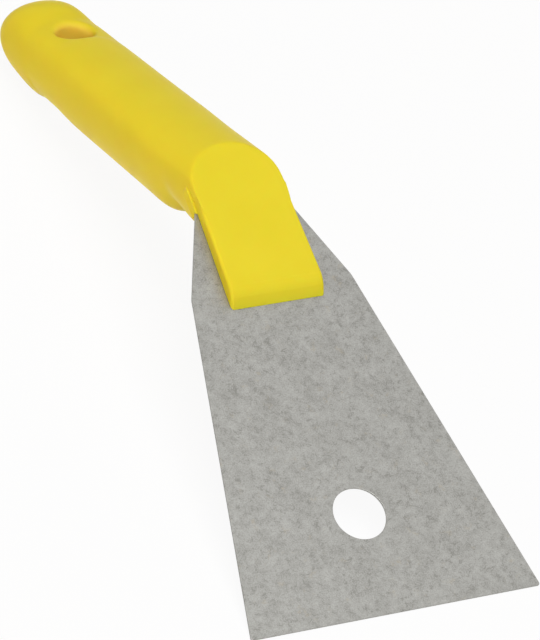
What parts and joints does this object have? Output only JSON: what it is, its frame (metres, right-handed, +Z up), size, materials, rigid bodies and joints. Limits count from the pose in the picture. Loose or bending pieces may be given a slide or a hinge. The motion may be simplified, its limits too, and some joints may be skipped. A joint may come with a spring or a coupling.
{
  "type": "hand scraper",
  "caption": "Hand scraper with a flat trapezoid steel blade, a hole near the working edge, and an angled moulded plastic grip with a hanging hole.",
  "frame": {"origin": "centre of the footprint on the table, where the tool stands on its working edge and its pommel", "axes": "+X to the tool's right seen from the handle, +Y from the working edge towards the handle's end, +Z up"},
  "size_m": [0.0998, 0.2812, 0.0627],
  "materials": {
    "blade_steel": "matt rolled stainless sheet with a fine mottle",
    "handle_plastic": "satin moulded polypropylene",
    "core_plastic": "plain moulded polypropylene, hidden"
  },
  "bodies": {
    "root": {"blade": "blade_steel", "handle_skin": "handle_plastic", "handle_core": "core_plastic"}
  },
  "joints": []
}
